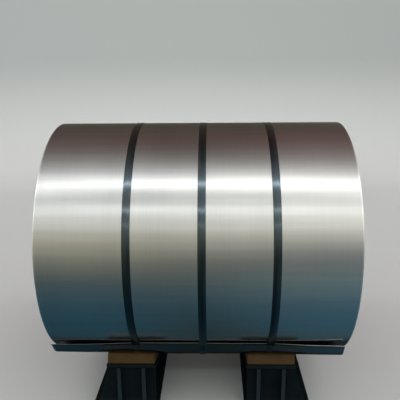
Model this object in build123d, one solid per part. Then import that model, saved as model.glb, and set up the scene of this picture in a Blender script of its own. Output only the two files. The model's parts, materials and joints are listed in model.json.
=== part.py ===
from build123d import *
from math import acos, cos, degrees, pi, radians, sin, tan
import os

# A strapped coil of cold-rolled steel strip, lying with its bore level on two V saddles.
# Millimetres. X runs along the bore, Z is up, and the coil's loose end is on the -Y side.
# The origin is on the floor, straight below the middle of the coil.

# Strip and coil
strip_width = 1250.0
strip_gauge = 2.0
coil_diameter = 1040.0
bore_diameter = 508.0

# Telescoping: bands of turns stand a little out at one end and in at the other
turn_bands = 5
telescoping = 1.5
telescope_step = 2.4

# Loose end of the strip: angles are measured at the axis, from the -Y side, and are positive upwards
lap_start_angle = -77.0
lap_root_depth = 1.5
lap_veer_angle = 2.1
lap_points = 9
bow_skew = 1.9
# Stations across the strip: place as a share of its width and the edge's angle, then as shares of the coil's
# radius how far the lap bows off the coil and how far its edge lifts off it. The straps hold the lap down.
lap_stations = {
    "left_end": (-0.500, -45.3, 0.0423, 0.0175),
    "left_span": (-0.365, -44.5, 0.0452, 0.0183),
    "strap_left": (-0.216, -43.6, 0.0442, 0.0106),
    "mid_left_span": (-0.100, -43.1, 0.0558, 0.0121),
    "strap_middle": (0.014, -43.1, 0.0538, 0.0112),
    "mid_right_span": (0.129, -43.1, 0.0538, 0.0129),
    "strap_right": (0.243, -43.3, 0.0490, 0.0108),
    "right_span": (0.372, -43.8, 0.0538, 0.0202),
    "right_end": (0.500, -43.8, 0.0538, 0.0265),
}

# Steel strapping
strap_width = 32.0
strap_thickness = 0.9
strap_clearance = 0.2
strap_slack = 2.0
strap_overlap_angle = 12.0
straps = ("strap_left", "strap_middle", "strap_right")

# Crimped seals, on the far side of the coil
seal_angle = 20.0
seal_length = 46.0
seal_wall = 0.9
seal_clearance = 0.2
seal_side_clearance = 0.3
crimp_pitch = 22.0
crimp_width = 5.0
crimp_depth = 0.9

# V saddles: the valley is where the two slopes of a saddle meet, in the middle
saddle_spacing = 620.0
saddle_offset = 5.0
saddle_slope = 15.0
pad_width = 211.0
pad_length = 266.0
pad_thickness = 52.0
pad_valley_distance = 40.0
pad_chamfer = 5.0
pad_clearance = 0.2
carrier_thickness = 14.0
carrier_margin = 4.0
web_thickness = 16.0
web_spacing = 110.0
web_length = 650.0
web_valley_height = 126.0
stiffener_thickness = 12.0
stiffener_setback = 40.0
gusset_head = 104.0
gusset_foot = 166.0
base_thickness = 20.0
base_width = 300.0
base_length = 720.0
base_offset = 37.0

coil_radius = coil_diameter / 2
bore_radius = bore_diameter / 2
rest_radius = coil_radius + strap_clearance + strap_thickness + pad_clearance
web_depth = pad_thickness + carrier_thickness
valley_height = base_thickness + web_valley_height + web_depth / cos(radians(saddle_slope))
axis_height = valley_height + rest_radius / cos(radians(saddle_slope))


def polar(radius, angle):
    """A point in the YZ plane, at an angle from the coil's near side."""
    a = radians(angle)
    return (-radius * cos(a), axis_height + radius * sin(a))


def heading(angle):
    """The direction along the coil's girth, upwards on its near side, at an angle from that side."""
    a = radians(angle)
    return (sin(a), cos(a))


def plane_at(x):
    """The YZ plane at a place along the coil, with its own x along Y and its own y along Z."""
    return Plane(origin=(x, 0, 0), x_dir=(0, 1, 0), z_dir=(1, 0, 0))


def slab(points, x_low, x_high):
    """A plate with straight sides, drawn in the YZ plane and as thick as the two places are apart."""
    face = plane_at(x_low) * make_face(Polyline(*points, close=True))
    return extrude(face, amount=x_high - x_low)


def lap_angle(share, edge):
    return lap_start_angle + share * (edge - lap_start_angle)


def lap_offset(share, bow, lift):
    """How far the loose lap's outer face stands off the coil: inside it at the root, proud from there."""
    seat = (strip_gauge + lap_root_depth) * share - lap_root_depth
    wave = bow * sin(pi * share**bow_skew) ** 2 + lift * share**3
    return seat + coil_radius * wave


def lap_point(place, radius, angle):
    """A point of the lap, which veers to the left of the turns below it as it leaves its root."""
    y_root, z_root = polar(coil_radius, lap_start_angle)
    y_way, z_way = heading(lap_angle(0.5, lap_stations["strap_middle"][1]))
    y, z = polar(radius, angle)
    travel = (y - y_root) * y_way + (z - z_root) * z_way
    return (place * strip_width - travel * tan(radians(lap_veer_angle)), y, z)


def lap_section(place, edge, bow, lift):
    """The lap's section: an outer and an inner curve one gauge apart, closed by two short lines."""
    shares = [i / (lap_points - 1) for i in range(lap_points)]
    rise = [coil_radius + lap_offset(share, bow, lift) for share in shares]
    outer = [lap_point(place, r, lap_angle(share, edge)) for r, share in zip(rise, shares)]
    inner = [lap_point(place, r - strip_gauge, lap_angle(share, edge)) for r, share in zip(rise, shares)]
    edges = [
        Spline(*outer),
        Line(outer[-1], inner[-1]),
        Spline(*inner[::-1]),
        Line(inner[0], outer[0]),
    ]
    return make_face(edges)


def turned_coil():
    """The wound turns as one solid of revolution, with its bands of turns stepped at both ends."""
    band = (coil_radius - bore_radius) / turn_bands
    right_end = []
    for i in range(turn_bands):
        shift = telescoping * sin(telescope_step * (turn_bands - 1 - i))
        right_end.append((strip_width / 2 + shift, bore_radius + i * band))
        right_end.append((strip_width / 2 + shift, bore_radius + (i + 1) * band))
    left_end = [(x - strip_width, r) for x, r in reversed(right_end)]
    outline = [(x, 0, r) for x, r in right_end + left_end]
    half = make_face(Polyline(*outline, close=True))
    return Pos(0, 0, axis_height) * revolve(half, axis=Axis.X, revolution_arc=360)


def strip_coil():
    lap = loft([lap_section(*station) for station in lap_stations.values()])
    return turned_coil() + lap


def strap_loop(edge, bow, lift, gap):
    """A strap's path: round the coil, over the loose lap, and straight down from its edge to the coil."""
    radius = coil_radius + gap
    start_angle = lap_angle(1 / (lap_points - 1), edge)
    start = polar(radius, start_angle)
    over_lap = []
    for i in range(2, lap_points):
        share = i / (lap_points - 1)
        offset = lap_offset(share, bow, lift) + gap + strap_slack
        over_lap.append(polar(coil_radius + offset, lap_angle(share, edge)))
    edge_radius = coil_radius + lap_offset(1, bow, lift) + gap + strap_slack
    landing = polar(radius, edge + degrees(acos(radius / edge_radius)))
    top = polar(radius, 90 + saddle_slope)
    return [
        Spline(start, *over_lap, tangents=[heading(start_angle), heading(edge)]),
        Line(over_lap[-1], landing),
        ThreePointArc(landing, top, start),
    ]


def strap(station):
    """A tensioned strap, with its two ends lapped under the seal."""
    share, *hold = lap_stations[station]
    place = share * strip_width
    outside = make_face(strap_loop(*hold, strap_clearance + strap_thickness))
    inside = make_face(strap_loop(*hold, strap_clearance))
    loop = plane_at(place - strap_width / 2) * (outside - inside)
    ring = extrude(loop, amount=strap_width)
    return ring + strap_end(place)


def band_on_coil(low, high, x_low, x_high, angle, length):
    """A curved bar on the far side of the coil, between two heights above its face."""
    span = degrees(length / coil_radius)
    outline = [
        (x_low, 0, coil_radius + low),
        (x_high, 0, coil_radius + low),
        (x_high, 0, coil_radius + high),
        (x_low, 0, coil_radius + high),
    ]
    bar = revolve(make_face(Polyline(*outline, close=True)), axis=Axis.X, revolution_arc=span)
    return Pos(0, 0, axis_height) * Rot(X=angle - 90 - span / 2) * bar


def strap_end(place):
    """The free end of a strap, lying on its other end."""
    low = strap_clearance + strap_thickness
    length = radians(strap_overlap_angle) * coil_radius
    half = strap_width / 2
    return band_on_coil(low, low + strap_thickness, place - half, place + half, seal_angle, length)


def seal(station):
    """A crimped seal: a cap over both strap ends, with its sides turned down and notched."""
    place = lap_stations[station][0] * strip_width
    top = strap_clearance + 2 * strap_thickness + seal_clearance
    half = strap_width / 2 + seal_side_clearance
    outer = half + seal_wall
    edges = (place - outer, place + outer)
    cap = band_on_coil(strap_clearance, top + seal_wall, *edges, seal_angle, seal_length)
    room = band_on_coil(0, top, place - half, place + half, seal_angle, 2 * seal_length)
    body = cap - room
    turn = degrees(crimp_pitch / 2 / coil_radius)
    for side in (-1, 1):
        cut = sorted((place + side * (outer - crimp_depth), place + side * (outer + seal_wall)))
        for angle in (seal_angle - turn, seal_angle + turn):
            body -= band_on_coil(0, top + 2 * seal_wall, *cut, angle, crimp_width)
    return body


def seat_point(along, depth, side):
    """A point on a saddle's slope: along it from the valley, and below the pad's top face."""
    a = radians(saddle_slope)
    y = along * cos(a) + depth * sin(a)
    z = valley_height + along * sin(a) - depth * cos(a)
    return (side * y, z)


def slope_height(y, depth):
    """The height, at a distance from the saddle's middle, of the slope below the pad's top face."""
    a = radians(saddle_slope)
    return valley_height + abs(y) * tan(a) - depth / cos(a)


def sloped_block(low, high, inner, outer, x_low, x_high, side):
    corners = [(inner, low), (outer, low), (outer, high), (inner, high)]
    points = [seat_point(along, depth, side) for along, depth in corners]
    return slab(points, x_low, x_high)


def pad(middle, side):
    low, high = middle - pad_width / 2, middle + pad_width / 2
    far = pad_valley_distance + pad_length
    block = sloped_block(0, pad_thickness, pad_valley_distance, far, low, high, side)
    return chamfer(block.edges(), pad_chamfer)


def carrier(middle, side):
    half = pad_width / 2 + carrier_margin
    near = pad_valley_distance - carrier_margin
    far = pad_valley_distance + pad_length + carrier_margin
    return sloped_block(pad_thickness, web_depth, near, far, middle - half, middle + half, side)


def web(middle, side):
    """A long V-topped plate that stands on the base plate and carries both carrier plates."""
    end = web_length / 2
    points = [
        (-end, base_thickness),
        (-end, slope_height(end, web_depth)),
        (0, slope_height(0, web_depth)),
        (end, slope_height(end, web_depth)),
        (end, base_thickness),
    ]
    inner = middle + side * (web_spacing - web_thickness) / 2
    outer = middle + side * (web_spacing + web_thickness) / 2
    return slab(points, *sorted((inner, outer)))


def stiffener(x_low, x_high, side):
    """An upright plate across the webs' direction, from the base plate up to a carrier plate."""
    outer = web_length / 2 - stiffener_setback
    inner = outer - stiffener_thickness
    points = [
        (side * outer, base_thickness),
        (side * outer, slope_height(outer, web_depth)),
        (side * inner, slope_height(inner, web_depth)),
        (side * inner, base_thickness),
    ]
    return slab(points, x_low, x_high)


def cross_plate(middle, side):
    """A stiffener between the two webs, under a carrier plate."""
    half = (web_spacing - web_thickness) / 2
    return stiffener(middle - half, middle + half, side)


def gusset(middle, across, side, foot):
    """A stiffener outside a web, as wide as the carrier plate at its head and sloping out to its foot."""
    root = (web_spacing + web_thickness) / 2
    plate = stiffener(*sorted((middle + across * root, middle + across * foot)), side)
    top = slope_height(web_length / 2 - stiffener_setback, web_depth)
    beyond = make_face(
        Polyline(
            (middle + across * gusset_head, -web_length, top),
            (middle + across * 2 * foot, -web_length, top),
            (middle + across * 2 * foot, -web_length, base_thickness),
            (middle + across * foot, -web_length, base_thickness),
            close=True,
        )
    )
    return plate - extrude(beyond, amount=2 * web_length, dir=(0, 1, 0))


def base_plate(middle):
    """A plate on the floor, wider on the saddle's outer side."""
    return Pos(middle, 0, base_thickness / 2) * Box(base_width, base_length, base_thickness)


def saddle(name, outward):
    """One V saddle's pieces, by node name: its outer side looks away from the coil's middle."""
    middle = saddle_offset + outward * saddle_spacing / 2
    pieces = {f"saddle_{name}_base_plate": base_plate(middle + outward * base_offset)}
    sides = {"front": -1, "rear": 1}
    flanks = {"outer": outward, "inner": -outward}
    feet = {"outer": gusset_foot, "inner": gusset_head}
    for flank, across in flanks.items():
        pieces[f"saddle_{name}_web_{flank}"] = web(middle, across)
    for end, side in sides.items():
        pieces[f"saddle_{name}_carrier_{end}"] = carrier(middle, side)
        pieces[f"saddle_{name}_pad_{end}"] = pad(middle, side)
        pieces[f"saddle_{name}_cross_plate_{end}"] = cross_plate(middle, side)
        for flank, across in flanks.items():
            pieces[f"saddle_{name}_gusset_{end}_{flank}"] = gusset(middle, across, side, feet[flank])
    return pieces


def main():
    pieces = {"strip_coil": strip_coil()}
    for name in straps:
        pieces[name] = strap(name)
        pieces[name.replace("strap", "strap_seal")] = seal(name)
    pieces.update(saddle("left", -1))
    pieces.update(saddle("right", 1))
    os.makedirs("parts", exist_ok=True)
    for name, solid in pieces.items():
        solid.label = name
        export_step(solid, f"parts/{name}.step")


main()
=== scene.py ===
import json
import math

import bmesh
import bpy
import numpy as np
from mathutils import Euler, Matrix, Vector


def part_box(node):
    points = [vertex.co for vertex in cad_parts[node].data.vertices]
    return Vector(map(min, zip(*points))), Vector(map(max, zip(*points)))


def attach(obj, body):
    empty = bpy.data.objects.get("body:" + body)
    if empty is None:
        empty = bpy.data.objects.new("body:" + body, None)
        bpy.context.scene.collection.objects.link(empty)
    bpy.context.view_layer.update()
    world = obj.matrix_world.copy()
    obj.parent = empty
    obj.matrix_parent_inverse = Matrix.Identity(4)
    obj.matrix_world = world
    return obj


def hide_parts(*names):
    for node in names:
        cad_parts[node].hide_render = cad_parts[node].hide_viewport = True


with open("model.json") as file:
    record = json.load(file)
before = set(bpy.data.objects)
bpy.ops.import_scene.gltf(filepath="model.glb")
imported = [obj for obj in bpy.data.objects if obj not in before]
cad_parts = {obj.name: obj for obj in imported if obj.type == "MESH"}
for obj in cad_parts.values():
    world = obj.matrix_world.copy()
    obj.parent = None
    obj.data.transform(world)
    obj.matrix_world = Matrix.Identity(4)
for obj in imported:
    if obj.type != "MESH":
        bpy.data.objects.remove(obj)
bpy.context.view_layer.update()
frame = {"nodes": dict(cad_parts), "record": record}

# A strapped coil of cold-rolled steel strip on two V saddles.
# Metres. X runs along the bore, Z is up, and the coil's loose end is on the -Y side.
# Angles round the coil are in degrees, from the -Y side at its axis, and positive upwards.
MM = 0.001

# Sizes that the frame gives
bore = next(mount for mount in frame["record"]["mounts"] if mount["name"] == "bore")
axis_height = bore["pos_m"][2]
strip_width = bore["dims"]["length_mm"] * MM
bore_radius = bore["dims"]["r_mm"] * MM
coil_low, coil_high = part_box("strip_coil")
coil_radius = (coil_high.z - coil_low.z) / 2
web_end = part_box("saddle_left_web_outer")[1].y

# Wound turns
strip_gauge = 2 * MM
turn_segments = 180
telescoping = 1.2 * MM
telescope_waves = 2.7
turn_wander = 0.35 * MM
wander_knots_per_turn = 3
wander_seed = 11
fade_turns = 3
edge_rounding = 1.2 * MM
rounding_steps = 3
# Width of the painted highlight along the strip's rims at the coil's ends
rim_highlight_width = 6 * MM
end_facing = 0.95
weld_distance = 0.001 * MM
sharp_angle = 40

# Loose end of the strip, as the solid has it: place as a share of the width and the edge's
# angle, then bow and lift as shares of the coil's radius
lap_start_angle = -77
lap_root_depth = 1.5 * MM
lap_veer_angle = 2.1
bow_skew = 1.9
lap_stations = (
    (-0.500, -45.3, 0.0423, 0.0175),
    (-0.365, -44.5, 0.0452, 0.0183),
    (-0.216, -43.6, 0.0442, 0.0106),
    (-0.100, -43.1, 0.0558, 0.0121),
    (0.014, -43.1, 0.0538, 0.0112),
    (0.129, -43.1, 0.0538, 0.0129),
    (0.243, -43.3, 0.0490, 0.0108),
    (0.372, -43.8, 0.0538, 0.0202),
    (0.500, -43.8, 0.0538, 0.0265),
)
lap_rows = 40
lap_columns = 160

# Straps
strap_names = ("strap_left", "strap_middle", "strap_right")
strap_width = 32 * MM
strap_thickness = 0.9 * MM
strap_clearance = 0.2 * MM
strap_slack = 2.0 * MM
strap_rounding = 0.3 * MM
strap_corner_steps = 2
strap_segments = 360
strap_lap_rows = 60
strap_sharp_angle = 60

# Saddles
pad_rounding = 2.5 * MM
plate_rounding = 1.2 * MM
plate_sharp_angle = 30
# Painted light: how high and how far from the ends the saddles' foot is paler
lit_foot_height = 60 * MM
lit_foot_start = 45 * MM
lit_foot_full = 5 * MM

# Camera, solved from the photo's outline of the coil
camera_x = 66.6 * MM
camera_y = -2.333
camera_above_axis = 0.772
camera_pitch = -14.67
camera_roll = 0.491
camera_yaw = 1.485
camera_lens = 46.35
camera_sensor = 36
camera_shift = 0.00125
camera_reach = 100


def mesh_object(name, verts, faces, material):
    """A smooth piece made of the given corners and faces."""
    mesh = bpy.data.meshes.new(name)
    mesh.from_pydata([tuple(v) for v in verts], [], faces)
    mesh.validate()
    mesh.polygons.foreach_set("use_smooth", [True] * len(mesh.polygons))
    mesh.materials.append(material)
    mesh.update()
    piece = bpy.data.objects.new(name, mesh)
    bpy.context.scene.collection.objects.link(piece)
    return piece


def mark_sharp_edges(work, limit):
    """Sharpens the edges between faces that meet at more than the limit, in degrees."""
    for edge in work.edges:
        joined = len(edge.link_faces) == 2
        edge.smooth = joined and edge.calc_face_angle() < math.radians(limit)


def sharpen(piece, limit):
    """Turns the piece's faces outwards and sharpens its edges."""
    work = bmesh.new()
    work.from_mesh(piece.data)
    bmesh.ops.recalc_face_normals(work, faces=work.faces)
    mark_sharp_edges(work, limit)
    work.to_mesh(piece.data)
    work.free()


def on_coil(x, radius, angle):
    """A point by its place along the coil, its distance from the axis and its angle in radians."""
    return (x, -radius * math.cos(angle), axis_height + radius * math.sin(angle))


def smooth_through(places, values, at):
    """A smooth curve through the stations, evaluated at the given place."""
    places, values = np.asarray(places), np.asarray(values)
    slopes = np.gradient(values, places)
    i = np.clip(np.searchsorted(places, at) - 1, 0, len(places) - 2)
    step = places[i + 1] - places[i]
    t = (at - places[i]) / step
    first = (1 + 2 * t) * (1 - t) ** 2 * values[i] + t * (1 - t) ** 2 * step * slopes[i]
    second = t**2 * (3 - 2 * t) * values[i + 1] + t**2 * (t - 1) * step * slopes[i + 1]
    return first + second


def lap_shape(x):
    """The edge's angle, the bow and the lift at a place along the coil."""
    places, *columns = zip(*lap_stations)
    return [float(smooth_through(places, column, x / strip_width)) for column in columns]


def lap_angle(share, edge):
    """The angle in radians at a share of the way from the loose end's root to its edge."""
    return math.radians(lap_start_angle + share * (edge - lap_start_angle))


def lap_offset(share, bow, lift):
    """How far the loose end's outer face stands off the coil."""
    seat = (strip_gauge + lap_root_depth) * share - lap_root_depth
    bowed = bow * math.sin(math.pi * share**bow_skew) ** 2
    return seat + coil_radius * (bowed + lift * share**3)


def lap_point(x, radius, angle):
    """A point of the loose end, which veers to the left of the turns below it."""
    root = Vector(on_coil(x, coil_radius, math.radians(lap_start_angle)))
    point = Vector(on_coil(x, radius, angle))
    middle = lap_angle(0.5, lap_shape(0)[0])
    travel = (point - root).dot(Vector((0, math.sin(middle), math.cos(middle))))
    return (x - travel * math.tan(math.radians(lap_veer_angle)), point.y, point.z)


# Building blocks of the materials and the light

# The range that most of a noise lies in
noise_range = (0.3, 0.7)


def new_material(name):
    """A material, its node tree, and its shader node."""
    material = bpy.data.materials.new(name)
    material.use_nodes = True
    tree = material.node_tree
    return material, tree, tree.nodes["Principled BSDF"]


def link(tree, source, target):
    """Leads one node's output into another node's socket."""
    tree.links.new(source, target)


def feed(tree, socket, value):
    """Gives a socket a number, a colour, or another node's output."""
    if isinstance(value, bpy.types.NodeSocket):
        link(tree, value, socket)
    elif isinstance(value, tuple):
        socket.default_value = (*value, 1)
    else:
        socket.default_value = value


def place_on(tree, axis):
    """The piece's own place in metres along one axis."""
    place = tree.nodes.new("ShaderNodeTexCoord")
    split = tree.nodes.new("ShaderNodeSeparateXYZ")
    link(tree, place.outputs["Object"], split.inputs["Vector"])
    return split.outputs[axis]


def noise(tree, scale, detail, stretch=(1, 1, 1), offset=(0, 0, 0)):
    """A noise of the piece's own place in metres, stretched by direction."""
    place = tree.nodes.new("ShaderNodeTexCoord")
    mapping = tree.nodes.new("ShaderNodeMapping")
    mapping.inputs["Scale"].default_value = stretch
    mapping.inputs["Location"].default_value = offset
    texture = tree.nodes.new("ShaderNodeTexNoise")
    texture.inputs["Scale"].default_value = scale
    texture.inputs["Detail"].default_value = detail
    link(tree, place.outputs["Object"], mapping.inputs["Vector"])
    link(tree, mapping.outputs["Vector"], texture.inputs["Vector"])
    return texture.outputs["Fac"]


def noise_of(tree, value, scale, detail):
    """A noise that varies along one value."""
    texture = tree.nodes.new("ShaderNodeTexNoise")
    texture.noise_dimensions = "1D"
    texture.inputs["Scale"].default_value = scale
    texture.inputs["Detail"].default_value = detail
    link(tree, value, texture.inputs["W"])
    return texture.outputs["Fac"]


def remap(tree, value, low, high, to_low=0, to_high=1):
    """The value, taken from one range to another and kept inside it."""
    node = tree.nodes.new("ShaderNodeMapRange")
    node.inputs["From Min"].default_value = low
    node.inputs["From Max"].default_value = high
    node.inputs["To Min"].default_value = to_low
    node.inputs["To Max"].default_value = to_high
    link(tree, value, node.inputs["Value"])
    return node.outputs["Result"]


def calculate(tree, operation, *values):
    """The result of an operation on one or two values, each a number or linked."""
    node = tree.nodes.new("ShaderNodeMath")
    node.operation = operation
    for socket, value in zip(node.inputs, values):
        feed(tree, socket, value)
    return node.outputs["Value"]


def mix_colour(tree, factor, first, second):
    """A mix of two colours, each given or linked, by a linked factor."""
    node = tree.nodes.new("ShaderNodeMix")
    node.data_type = "RGBA"
    first_colour, second_colour = node.inputs[6], node.inputs[7]
    link(tree, factor, node.inputs["Factor"])
    feed(tree, first_colour, first)
    feed(tree, second_colour, second)
    return node.outputs[2]


def mottle(tree, pattern, first, second):
    """Two colours, mixed by a noise."""
    return mix_colour(tree, remap(tree, pattern, *noise_range), first, second)


def bump(tree, height, distance, strength, below=None):
    """A bump by a linked height, on top of the bump below it."""
    node = tree.nodes.new("ShaderNodeBump")
    node.inputs["Distance"].default_value = distance
    node.inputs["Strength"].default_value = strength
    link(tree, height, node.inputs["Height"])
    if below is not None:
        link(tree, below, node.inputs["Normal"])
    return node.outputs["Normal"]


# Materials

# Colours of the strip's face and of the painted highlight on its rims, then of its cut edge and
# its painted highlight, then of the edges at the coil's ends
strip_grey, strip_pale = (0.60, 0.60, 0.595), (0.66, 0.66, 0.65)
grinding_line = (0.68, 0.68, 0.67)
rim_highlight = (0.92, 0.93, 0.92)
cut_dark, cut_pale = (0.105, 0.112, 0.12), (0.185, 0.19, 0.20)
cut_highlight = (0.64, 0.66, 0.66)
edge_band_dark, edge_band_pale = (0.30, 0.31, 0.32), (0.50, 0.50, 0.49)
edge_gap = (0.16, 0.17, 0.18)
edge_stain = (0.26, 0.24, 0.21)

# Colours of the straps, the pads and the saddles
strap_blue = (0.055, 0.080, 0.098)
strap_rubbed = (0.10, 0.115, 0.12)
# Strap colour low down, darkened by painted shade
strap_shaded = (0.030, 0.050, 0.063)
# Pad colours are darkened by painted shade from under the coil, the dirt colour too
pad_shaded_dark, pad_shaded_pale = (0.080, 0.041, 0.012), (0.108, 0.058, 0.017)
pad_dirt_and_shade = (0.055, 0.038, 0.02)
# Dark paint, darkened further by painted shade
paint_shaded_dark, paint_shaded_pale = (0.007, 0.012, 0.015), (0.011, 0.018, 0.022)
paint_chip = (0.07, 0.055, 0.045)
# Paler colour on the webs' front ends
paint_web_end_pale = (0.024, 0.036, 0.045)
# Paler foot colour, painted light
paint_lit_foot = (0.105, 0.125, 0.13)

# The strip's face: where its painted shade changes across the width, how strong its cross streaks
# are, and how much smoother it is below, between two depths under the axis in shares of the radius
shade_start, shade_end = 0.20 * strip_width, 0.48 * strip_width
streak_depth = 0.045
smooth_factor = 0.62
smooth_full, smooth_start = 0.52, 0.30

# The cut edge carries a painted highlight that grows toward the right
cut_highlight_start, cut_highlight_full = 0.27 * strip_width, 0.5 * strip_width

# The straps are darkened by painted shade below these heights over the axis, in shares of the
# radius
strap_unshaded_start, strap_unshaded_full = 0.17, 0.37


def strip_steel(name, shade, end_shade):
    """Bright cold-rolled strip, with painted shade from its middle toward the coil's ends and a
    painted highlight on its rims.

    Roll grinding runs round the coil, over faint bands, stains and cross streaks.
    """
    material, tree, shader = new_material(name)
    grain = noise(tree, 1, 4, stretch=(420, 2.5, 2.5))
    bands = noise(tree, 1, 3, stretch=(7, 1.2, 1.2), offset=(3, 1, 5))
    cloud = noise(tree, 3, 3, offset=(7, 2, 1))
    streaks = noise(tree, 1, 3, stretch=(1.5, 55, 55), offset=(2, 9, 4))

    across = calculate(tree, "ABSOLUTE", place_on(tree, "X"))
    # Painted highlight: the strip turns pale along its rims at the coil's ends
    rim = remap(tree, across, strip_width / 2 - rim_highlight_width, strip_width / 2 - rim_highlight_width / 2)
    banded = mottle(tree, bands, strip_grey, strip_pale)
    ground = mix_colour(tree, remap(tree, grain, 0.35, 0.65, 0, 0.5), banded, grinding_line)
    tone = mix_colour(tree, rim, ground, rim_highlight)

    streaked = remap(tree, streaks, *noise_range, 1 - streak_depth, 1 + streak_depth)
    # Painted shade: the colour is scaled by shade at the middle and by end_shade toward the ends
    painted_shade_by_place = remap(tree, across, shade_start, shade_end, shade, end_shade)
    shaded = tree.nodes.new("ShaderNodeVectorMath")
    shaded.operation = "SCALE"
    link(tree, tone, shaded.inputs["Vector"])
    link(tree, calculate(tree, "MULTIPLY", streaked, painted_shade_by_place), shaded.inputs["Scale"])
    link(tree, shaded.outputs["Vector"], shader.inputs["Base Color"])
    # The specular tint carries the same painted shade
    shader.inputs["Specular Tint"].default_value = (end_shade, end_shade, end_shade, 1)
    shader.inputs["Metallic"].default_value = 1

    smooth_low = axis_height - smooth_full * coil_radius
    smooth_high = axis_height - smooth_start * coil_radius
    smoother = remap(tree, place_on(tree, "Z"), smooth_low, smooth_high, smooth_factor, 1)
    clouded = remap(tree, cloud, *noise_range, 0.29, 0.34)
    link(tree, calculate(tree, "MULTIPLY", clouded, smoother), shader.inputs["Roughness"])
    shader.inputs["Anisotropic"].default_value = 0.4
    shader.inputs["Anisotropic Rotation"].default_value = 0.25
    tangent = tree.nodes.new("ShaderNodeTangent")
    tangent.direction_type = "RADIAL"
    tangent.axis = "X"
    link(tree, tangent.outputs["Tangent"], shader.inputs["Tangent"])
    link(tree, bump(tree, grain, 0.02 * MM, 0.25), shader.inputs["Normal"])
    return material


def sheared_steel():
    """The strip's cut edge, darker and rougher than its face, with a painted highlight toward the
    right.
    """
    material, tree, shader = new_material("sheared_steel")
    grain = noise(tree, 1, 4, stretch=(900, 300, 300))
    tone = mottle(tree, grain, cut_dark, cut_pale)
    # Painted highlight on the cut edge, growing toward the right
    right = remap(tree, place_on(tree, "X"), cut_highlight_start, cut_highlight_full)
    link(tree, mix_colour(tree, right, tone, cut_highlight), shader.inputs["Base Color"])
    shader.inputs["Metallic"].default_value = 1
    shader.inputs["Roughness"].default_value = 0.45
    return material


def turn_edges():
    """The strip's slit edges at the coil's ends, where each turn differs a little."""
    material, tree, shader = new_material("turn_edges")
    place = tree.nodes.new("ShaderNodeTexCoord")
    centred = tree.nodes.new("ShaderNodeMapping")
    centred.inputs["Location"].default_value = (0, 0, -axis_height)
    centred.inputs["Scale"].default_value = (0, 1, 1)
    link(tree, place.outputs["Object"], centred.inputs["Vector"])
    distance = tree.nodes.new("ShaderNodeVectorMath")
    distance.operation = "LENGTH"
    link(tree, centred.outputs["Vector"], distance.inputs[0])
    radius = distance.outputs["Value"]

    turns = noise_of(tree, radius, 420, 2)
    bands = noise_of(tree, radius, 55, 3)
    stain = noise(tree, 5, 4, offset=(2, 5, 3))
    banded = mix_colour(tree, remap(tree, bands, 0.35, 0.65), edge_band_dark, edge_band_pale)
    ringed = mix_colour(tree, remap(tree, turns, *noise_range, 0, 0.85), banded, edge_gap)
    stained = mix_colour(tree, remap(tree, stain, 0.5, 0.75, 0, 0.5), ringed, edge_stain)
    link(tree, stained, shader.inputs["Base Color"])
    shader.inputs["Metallic"].default_value = 0.9
    link(tree, remap(tree, turns, *noise_range, 0.34, 0.5), shader.inputs["Roughness"])
    rough = bump(tree, turns, 0.4 * MM, 0.6)
    link(tree, bump(tree, bands, 2 * MM, 0.5, rough), shader.inputs["Normal"])
    return material


def strap_steel():
    """Blued and waxed strapping with rubbed places, darkened below by painted shade."""
    material, tree, shader = new_material("strap_steel")
    wear = noise(tree, 60, 5, stretch=(1, 0.3, 0.3))
    worn = mix_colour(tree, remap(tree, wear, 0.60, 0.74), strap_blue, strap_rubbed)
    # Painted shade: the straps turn darker toward the bottom
    unshaded_low = axis_height + strap_unshaded_start * coil_radius
    unshaded_high = axis_height + strap_unshaded_full * coil_radius
    unshaded = remap(tree, place_on(tree, "Z"), unshaded_low, unshaded_high)
    link(tree, mix_colour(tree, unshaded, strap_shaded, worn), shader.inputs["Base Color"])
    shader.inputs["Metallic"].default_value = 1
    link(tree, remap(tree, wear, *noise_range, 0.17, 0.22), shader.inputs["Roughness"])
    shader.inputs["Coat Weight"].default_value = 1
    shader.inputs["Coat Roughness"].default_value = 0.12
    return material


def pad_polyurethane():
    """Amber polyurethane darkened by painted shade, scuffed and dirty."""
    material, tree, shader = new_material("pad_polyurethane")
    cloud = noise(tree, 18, 4)
    scuff = noise(tree, 90, 5, stretch=(1, 0.4, 1))
    amber = mottle(tree, cloud, pad_shaded_dark, pad_shaded_pale)
    dirty = mix_colour(tree, remap(tree, scuff, 0.55, 0.75, 0, 0.7), amber, pad_dirt_and_shade)
    link(tree, dirty, shader.inputs["Base Color"])
    shader.inputs["Specular IOR Level"].default_value = 0.3
    link(tree, remap(tree, scuff, *noise_range, 0.38, 0.6), shader.inputs["Roughness"])
    link(tree, bump(tree, scuff, 0.6 * MM, 0.4), shader.inputs["Normal"])
    return material


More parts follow.
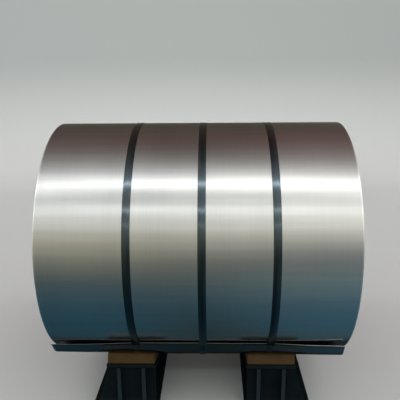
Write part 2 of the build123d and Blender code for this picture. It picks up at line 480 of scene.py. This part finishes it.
def saddle_paint():
    """Dark paint darkened further by painted shade, chipped, with painted light low down at the
    foot's two ends, and paler on the webs' front ends.
    """
    material, tree, shader = new_material("saddle_paint")
    cloud = noise(tree, 9, 4)
    chips = noise(tree, 140, 6)
    mottled = mottle(tree, cloud, paint_shaded_dark, paint_shaded_pale)
    chipped = mix_colour(tree, remap(tree, chips, 0.68, 0.72), mottled, paint_chip)

    # The webs' front ends are paler
    depth = calculate(tree, "ABSOLUTE", place_on(tree, "Y"))
    on_end = remap(tree, depth, web_end - 1.5 * MM, web_end - 1 * MM)
    beyond = remap(tree, depth, web_end + 1 * MM, web_end + 2 * MM, 1, 0)
    at_end = calculate(tree, "MULTIPLY", on_end, beyond)
    rubbed = mix_colour(tree, at_end, chipped, paint_web_end_pale)

    # Painted light: the foot is paler low down toward its two ends, which the coil reflects
    low_down = remap(tree, place_on(tree, "Z"), lit_foot_height, lit_foot_height / 3)
    far_out = remap(tree, depth, web_end - lit_foot_start, web_end - lit_foot_full)
    lit_foot = calculate(tree, "MULTIPLY", low_down, far_out)
    lit_foot_colour = mix_colour(tree, lit_foot, rubbed, paint_lit_foot)
    link(tree, lit_foot_colour, shader.inputs["Base Color"])
    shader.inputs["Specular IOR Level"].default_value = 0.05
    link(tree, remap(tree, cloud, *noise_range, 0.5, 0.65), shader.inputs["Roughness"])
    link(tree, bump(tree, chips, 0.3 * MM, 0.3), shader.inputs["Normal"])
    return material


steel = strip_steel("strip_steel", 1, 1)
# The loose end is darkened by painted shade, less so toward the coil's ends
loose_steel_painted_shade = strip_steel("loose_end_painted_shade_steel", 0.31, 0.56)
sheared = sheared_steel()
slit_edges = turn_edges()
strapping = strap_steel()
amber_pad = pad_polyurethane()
paint = saddle_paint()


# Wound turns: one closed mesh with the strip's edge as a spiral at both ends


def wound_turns():
    """The corners and faces of the whole coil, less its loose end."""
    turns = round((coil_radius - bore_radius) / strip_gauge) - 1
    count = turns * turn_segments
    turn = np.arange(count + 1) / turn_segments
    angle = np.radians(lap_start_angle) + 2 * np.pi * turn
    inner = bore_radius + strip_gauge * turn
    outer = np.minimum(inner + strip_gauge, coil_radius)
    outer[-turn_segments - 1 :] = coil_radius
    face = outer - np.where(outer == coil_radius, edge_rounding, 0)

    rng = np.random.default_rng(wander_seed)
    knots = np.arange(turns * wander_knots_per_turn + 1) / wander_knots_per_turn
    wander = np.interp(turn, knots, rng.normal(0, turn_wander, len(knots)))
    sway = telescoping * np.sin(telescope_waves * 2 * np.pi * turn / turns)
    fade_in = np.clip((turn - 1) / fade_turns, 0, 1)
    fade_out = np.clip((turns - 1 - turn) / fade_turns, 0, 1)
    shift = (sway + wander) * fade_in * fade_out

    verts = []
    faces = []

    def ring(x, radius):
        """Adds corners along the whole strip, and gives the index of the first of them."""
        first = len(verts)
        verts.extend(zip(x, -radius * np.cos(angle), axis_height + radius * np.sin(angle)))
        return first

    def quads(a, b, steps, flip):
        """Adds the faces between two rings of corners."""
        for i in steps:
            quad = (a + i, b + i, b + i + 1, a + i + 1)
            faces.append(quad[::-1] if flip else quad)

    bore_edges = []
    rims = []
    last_turn = range(count - turn_segments, count)
    for side in (-1, 1):
        flip = side < 0
        x = side * strip_width / 2 + shift
        inner_ring = ring(x, inner)
        outer_ring = ring(x, face)
        quads(inner_ring, outer_ring, range(count), flip)
        quads(outer_ring, inner_ring + turn_segments, range(count - turn_segments), flip)
        bore_edges.append(inner_ring)
        rim = outer_ring
        for step in range(1, rounding_steps + 1):
            lean = math.pi / 2 * step / rounding_steps
            x_rim = x - side * edge_rounding * (1 - math.cos(lean))
            radius = coil_radius - edge_rounding * (1 - math.sin(lean))
            next_rim = ring(x_rim, np.full(count + 1, radius))
            quads(rim, next_rim, last_turn, flip)
            rim = next_rim
        rims.append(rim)
    quads(rims[1], rims[0], last_turn, False)
    left, right = bore_edges
    quads(left, right, range(turn_segments), False)
    faces.append((left, left + turn_segments, right + turn_segments, right))
    return verts, faces


def finish_turns(piece):
    """Drops unused corners, joins the spiral's seam and sharpens the strip's edges."""
    work = bmesh.new()
    work.from_mesh(piece.data)
    loose = [v for v in work.verts if not v.link_faces]
    bmesh.ops.delete(work, geom=loose, context="VERTS")
    bmesh.ops.remove_doubles(work, verts=work.verts, dist=weld_distance)
    mark_sharp_edges(work, sharp_angle)
    work.to_mesh(piece.data)
    work.free()


turns_piece = mesh_object("coil_turns", *wound_turns(), steel)
finish_turns(turns_piece)
turns_piece.data.materials.append(slit_edges)
for face in turns_piece.data.polygons:
    if abs(face.normal.x) > end_facing:
        face.material_index = 1
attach(turns_piece, "root")
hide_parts("strip_coil")


# Loose end of the strip


def grid_faces(first, rows, columns, flip):
    """The faces of a grid of corners, from the index of its first corner."""
    faces = []
    for i in range(rows - 1):
        for j in range(columns - 1):
            a = first + i * columns + j
            quad = (a, a + 1, a + columns + 1, a + columns)
            faces.append(quad[::-1] if flip else quad)
    return faces


def sheet_mesh(outer, inner):
    """A closed sheet from two grids of corners. Its last faces are its four narrow sides."""
    rows, columns = len(outer), len(outer[0])
    verts = [v for row in outer for v in row] + [v for row in inner for v in row]
    other = rows * columns
    faces = grid_faces(0, rows, columns, False) + grid_faces(other, rows, columns, True)
    for j in range(columns - 1):
        for a, flip in ((j, False), ((rows - 1) * columns + j, True)):
            quad = (a, a + other, a + other + 1, a + 1)
            faces.append(quad[::-1] if flip else quad)
    for i in range(rows - 1):
        for a, flip in ((i * columns, True), (i * columns + columns - 1, False)):
            quad = (a, a + other, a + other + columns, a + columns)
            faces.append(quad[::-1] if flip else quad)
    return verts, faces


def loose_end():
    """The corners and faces of the last piece of the strip, off the coil."""
    places = [strip_width * (j / (lap_columns - 1) - 0.5) for j in range(lap_columns)]
    shapes = [lap_shape(x) for x in places]
    outer = []
    inner = []
    for i in range(lap_rows):
        share = i / (lap_rows - 1)
        outer.append([])
        inner.append([])
        for x, (edge, bow, lift) in zip(places, shapes):
            radius = coil_radius + lap_offset(share, bow, lift)
            angle = lap_angle(share, edge)
            outer[-1].append(lap_point(x, radius, angle))
            inner[-1].append(lap_point(x, radius - strip_gauge, angle))
    return sheet_mesh(outer, inner)


lap_piece = mesh_object("coil_loose_end", *loose_end(), loose_steel_painted_shade)
lap_piece.data.materials.append(sheared)
broad_faces = 2 * (lap_rows - 1) * (lap_columns - 1)
for face in list(lap_piece.data.polygons)[broad_faces:]:
    face.material_index = 1
sharpen(lap_piece, sharp_angle)
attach(lap_piece, "root")
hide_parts("strip_coil")


# Straps


def strap_path(x, gap):
    """Radii and angles once round the coil at a gap from it.

    The path runs over the loose end and comes down from its edge.
    """
    edge, bow, lift = lap_shape(x)
    path = []
    for i in range(strap_lap_rows + 1):
        share = i / strap_lap_rows
        rise = max(lap_offset(share, bow, lift) + strap_slack, 0)
        path.append((coil_radius + gap + rise, lap_angle(share, edge)))
    edge_radius = path[-1][0]
    radius = coil_radius + gap
    landing = math.radians(edge) + math.acos(radius / edge_radius)
    end = math.radians(lap_start_angle + 360)
    for i in range(strap_segments):
        path.append((radius, landing + (end - landing) * i / strap_segments))
    return path


def strap_section():
    """Corners of a strap's rounded section: place across it and height over its underside."""
    half = strap_width / 2 - strap_rounding
    low, high = strap_rounding, strap_thickness - strap_rounding
    section = []
    for corner_x, corner_gap, start in (
        (half, high, 0),
        (-half, high, 90),
        (-half, low, 180),
        (half, low, 270),
    ):
        for step in range(strap_corner_steps + 1):
            lean = math.radians(start + 90 / strap_corner_steps * step)
            along = corner_x + strap_rounding * math.cos(lean)
            section.append((along, corner_gap + strap_rounding * math.sin(lean)))
    return section


def strap_mesh(x):
    """A closed band with rounded edges, swept along the strap's path."""
    section = strap_section()
    columns = len(section)
    paths = [strap_path(x, strap_clearance + gap) for _, gap in section]
    rows = len(paths[0])
    verts = []
    for i in range(rows):
        for (along, _), path in zip(section, paths):
            verts.append(on_coil(x + along, *path[i]))
    faces = []
    for i in range(rows):
        here, there = i * columns, (i + 1) % rows * columns
        for j in range(columns):
            k = (j + 1) % columns
            faces.append((here + j, here + k, there + k, there + j))
    return verts, faces


for name in strap_names:
    low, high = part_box(name)
    piece = mesh_object(name + "_band", *strap_mesh((low.x + high.x) / 2), strapping)
    sharpen(piece, strap_sharp_angle)
    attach(piece, "root")
    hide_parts(name)


# Finish of the pieces that keep their own shape

slots = {entry["node"]: entry["material_slot"] for entry in frame["record"]["subparts"]}
finishes = {
    "strip_steel": steel,
    "strap_steel": strapping,
    "pad_polyurethane": amber_pad,
    "saddle_paint": paint,
}
for name, node in frame["nodes"].items():
    node.data.materials.clear()
    node.data.materials.append(finishes[slots[name]])
    if name.startswith("saddle"):
        rounding = node.modifiers.new("edge_rounding", "BEVEL")
        rounding.width = pad_rounding if "pad" in name else plate_rounding
        rounding.segments = 2
        rounding.limit_method = "ANGLE"
        rounding.angle_limit = math.radians(plate_sharp_angle)
        rounding.harden_normals = True


# Stage: a floor that curves up into a round backdrop, with a glow on its near side

floor_rings = (1.5, 3.0, 4.5)
cove_radius = 1.6
wall_height = 6.5
stage_segments = 96
cove_steps = 12
floor_colour = (0.80, 0.81, 0.82, 1)
glow_start, glow_full = -2.5, -5.5
glow_strength = 0.45


def stage_mesh():
    """The corners and faces of the stage, from its middle outwards."""
    floor_radius = floor_rings[-1]
    profile = [(radius, 0) for radius in floor_rings]
    for i in range(1, cove_steps + 1):
        lean = math.pi / 2 * i / cove_steps
        radius = floor_radius + cove_radius * math.sin(lean)
        profile.append((radius, cove_radius * (1 - math.cos(lean))))
    profile.append((floor_radius + cove_radius, wall_height))
    verts = [(0, 0, 0)]
    for radius, z in profile:
        for j in range(stage_segments):
            a = 2 * math.pi * j / stage_segments
            verts.append((radius * math.cos(a), radius * math.sin(a), z))
    faces = [(0, 1 + j, 1 + (j + 1) % stage_segments) for j in range(stage_segments)]
    for i in range(len(profile) - 1):
        first = 1 + i * stage_segments
        for j in range(stage_segments):
            a, b = first + j, first + (j + 1) % stage_segments
            faces.append((a, a + stage_segments, b + stage_segments, b))
    return verts, faces


floor_material, floor_tree, floor_shader = new_material("stage_floor")
floor_shader.inputs["Base Color"].default_value = floor_colour
floor_shader.inputs["Roughness"].default_value = 0.9
floor_shader.inputs["Specular IOR Level"].default_value = 0.1
floor_shader.inputs["Emission Color"].default_value = floor_colour
glow = remap(floor_tree, place_on(floor_tree, "Y"), glow_start, glow_full, 0, glow_strength)
link(floor_tree, glow, floor_shader.inputs["Emission Strength"])
floor = mesh_object("stage_floor", *stage_mesh(), floor_material)
floor.visible_glossy = False
floor.visible_diffuse = False
floor.visible_shadow = False


# Light: soft, even along the coil, and brightest in three bands on the near side

# Each colour of the light, to the left and to the right
haze = (1.00, 0.94, 0.86), (1.00, 0.94, 0.86)
shadow = (0.60, 1.00, 1.10), (0.60, 1.00, 1.10)
deep_floor = (0.35, 0.85, 1.15), (0.65, 1.15, 1.40)
teal_floor = (0.28, 0.88, 1.25), (0.52, 1.34, 1.88)
far_floor = (0.45, 0.70, 0.73), (0.96, 1.43, 1.52)
horizon = (1.24, 1.21, 0.93), (0.86, 0.91, 0.92)
dusty_wall = (1.04, 0.98, 0.78), (1.01, 1.02, 0.86)
low_wall = (0.90, 0.91, 0.77), (1.11, 1.10, 0.95)
wall = (0.85, 0.88, 0.85), (1.09, 1.12, 1.02)
high_wall = (0.84, 0.86, 0.85), (1.16, 1.15, 1.12)
lamp = (0.93, 0.95, 0.96), (1.06, 1.06, 1.06)
main_lamp = (0.97, 0.98, 0.99), (1.16, 1.16, 1.15)
roof = (0.96, 0.97, 0.96), (1.03, 1.04, 1.00)
brown_roof = (1.03, 0.96, 0.87), (1.25, 1.04, 0.98)
rose_roof = (1.37, 0.84, 0.75), (1.92, 1.16, 1.08)
far_roof = (1.28, 0.97, 0.78), (1.56, 1.03, 0.88)
back_wall = (0.95, 0.80, 0.60), (1.30, 1.15, 0.90)

# Direction in degrees up from the -Y horizon (90 is straight up, 180 the +Y horizon), strength,
# and colour
light_stops = (
    (-180, 0.140, haze),
    (-165, 0.085, shadow),
    (-150, 0.032, shadow),
    (-118, 0.020, shadow),
    (-108, 0.068, deep_floor),
    (-90, 0.071, teal_floor),
    (-60, 0.086, teal_floor),
    (-30, 0.142, far_floor),
    (-8, 0.19, horizon),
    (0, 0.28, horizon),
    (12, 0.50, dusty_wall),
    (21, 0.63, low_wall),
    (24, 0.70, low_wall),
    (24.8, 2.3, lamp),
    (25.9, 2.3, lamp),
    (26.3, 0.64, low_wall),
    (39, 0.65, wall),
    (39.3, 4.8, lamp),
    (40.6, 4.8, lamp),
    (41.1, 0.65, wall),
    (50, 0.64, wall),
    (60, 0.68, high_wall),
    (64.5, 0.77, lamp),
    (65.2, 6.6, main_lamp),
    (67.9, 6.6, main_lamp),
    (68.6, 0.95, lamp),
    (80, 0.58, roof),
    (95, 0.205, brown_roof),
    (118, 0.080, rose_roof),
    (140, 0.068, far_roof),
    (160, 0.060, back_wall),
    (180, 0.140, haze),
)

# How far the direction leans to either side (its X) where the light is all of the left or right,
# and where the bands have left their place at the middle, in degrees
side_lean = 0.3
band_shift_middle, band_shift_ends = 0.7, -1.1

# Light from the two ends, below and above
end_lean, end_lean_full = 0.7, 0.95
end_level, end_level_full = -0.3, 0.25
end_below, end_above = (0.10, 0.12, 0.13), (0.55, 0.55, 0.54)

# Gains at the middle and at the ends, for light from below and from above
low_gains = (0.58, 1.08)
high_gains = (0.97, 1.08)
low_lean = 0.25
low_level, high_level = -0.15, 0.32

# Near the middle, the roof is dimmer and the floor below is murky, each between directions in
# degrees where it begins, is full, is still full, and ends
middle_lean_full, middle_lean = 0.04, 0.19
murky_directions = (-125, -110, -62, -50)
murky_colour = (0.060, 0.075, 0.060)
murky_share = 0.45
dim_directions = (76, 90, 112, 132)
dim_gain = 0.66


def share_of(degrees):
    """A direction as its share of the whole turn."""
    return (degrees + 180) / 360


def between(tree, share, directions):
    """One between the second and third direction, fading to nought at the first and fourth."""
    start, full, last, end = (share_of(degrees) for degrees in directions)
    rising = remap(tree, share, start, full)
    falling = remap(tree, share, last, end, 1, 0)
    return calculate(tree, "MULTIPLY", rising, falling)


def light_ramp(tree, share, side):
    """The light's colour by direction, to the left (side 0) or to the right (side 1)."""
    ramp = tree.nodes.new("ShaderNodeValToRGB")
    link(tree, share, ramp.inputs["Fac"])
    elements = ramp.color_ramp.elements
    elements.remove(elements[-1])
    for i, (degrees, strength, colours) in enumerate(light_stops):
        place = share_of(degrees)
        element = elements[0] if i == 0 else elements.new(place)
        element.position = place
        element.color = (*(strength * channel for channel in colours[side]), 1)
    return ramp.outputs["Color"]


def studio_light():
    """The light from all round, by the direction that it comes from."""
    world = bpy.data.worlds.new("studio")
    bpy.context.scene.world = world
    world.use_nodes = True
    tree = world.node_tree
    place = tree.nodes.new("ShaderNodeTexCoord")
    split = tree.nodes.new("ShaderNodeSeparateXYZ")
    link(tree, place.outputs["Generated"], split.inputs["Vector"])
    x, y, z = split.outputs["X"], split.outputs["Y"], split.outputs["Z"]
    sideways = calculate(tree, "ABSOLUTE", x)

    turn = calculate(tree, "ARCTAN2", z, calculate(tree, "MULTIPLY", y, -1))
    shifts = math.radians(band_shift_middle), math.radians(band_shift_ends)
    turn = calculate(tree, "ADD", turn, remap(tree, sideways, 0, side_lean, *shifts))
    share = remap(tree, turn, -math.pi, math.pi)
    left = light_ramp(tree, share, 0)
    right = light_ramp(tree, share, 1)
    along = mix_colour(tree, remap(tree, x, -side_lean, side_lean), left, right)

    near_middle = remap(tree, sideways, middle_lean_full, middle_lean, 1, 0)
    underneath = between(tree, share, murky_directions)
    murky = calculate(tree, "MULTIPLY", near_middle, underneath)
    along = mix_colour(tree, remap(tree, murky, 0, 1, 0, murky_share), along, murky_colour)

    at_end = remap(tree, sideways, end_lean, end_lean_full)
    end_light = mix_colour(tree, remap(tree, z, end_level, end_level_full), end_below, end_above)
    background = tree.nodes["Background"]
    link(tree, mix_colour(tree, at_end, along, end_light), background.inputs["Color"])

    gain = tree.nodes.new("ShaderNodeMix")
    link(tree, remap(tree, z, low_level, high_level), gain.inputs["Factor"])
    link(tree, remap(tree, sideways, 0, low_lean, *low_gains), gain.inputs["A"])
    link(tree, remap(tree, sideways, 0, side_lean, *high_gains), gain.inputs["B"])
    overhead = calculate(tree, "MULTIPLY", near_middle, between(tree, share, dim_directions))
    dimmed = remap(tree, overhead, 0, 1, 1, dim_gain)
    strength = calculate(tree, "MULTIPLY", gain.outputs["Result"], dimmed)
    link(tree, strength, background.inputs["Strength"])


studio_light()
bpy.context.scene.view_settings.view_transform = "Standard"

camera_data = bpy.data.cameras.new("camera")
camera_data.lens = camera_lens
camera_data.sensor_width = camera_sensor
camera_data.shift_x = -camera_shift
camera_data.shift_y = camera_shift
camera_data.clip_end = camera_reach
camera = bpy.data.objects.new("camera", camera_data)
bpy.context.scene.collection.objects.link(camera)
camera.location = (camera_x, camera_y, axis_height + camera_above_axis)
camera_turn = [math.radians(turn) for turn in (90 + camera_pitch, camera_roll, camera_yaw)]
camera.rotation_euler = Euler(camera_turn, "XYZ")
bpy.context.scene.camera = camera
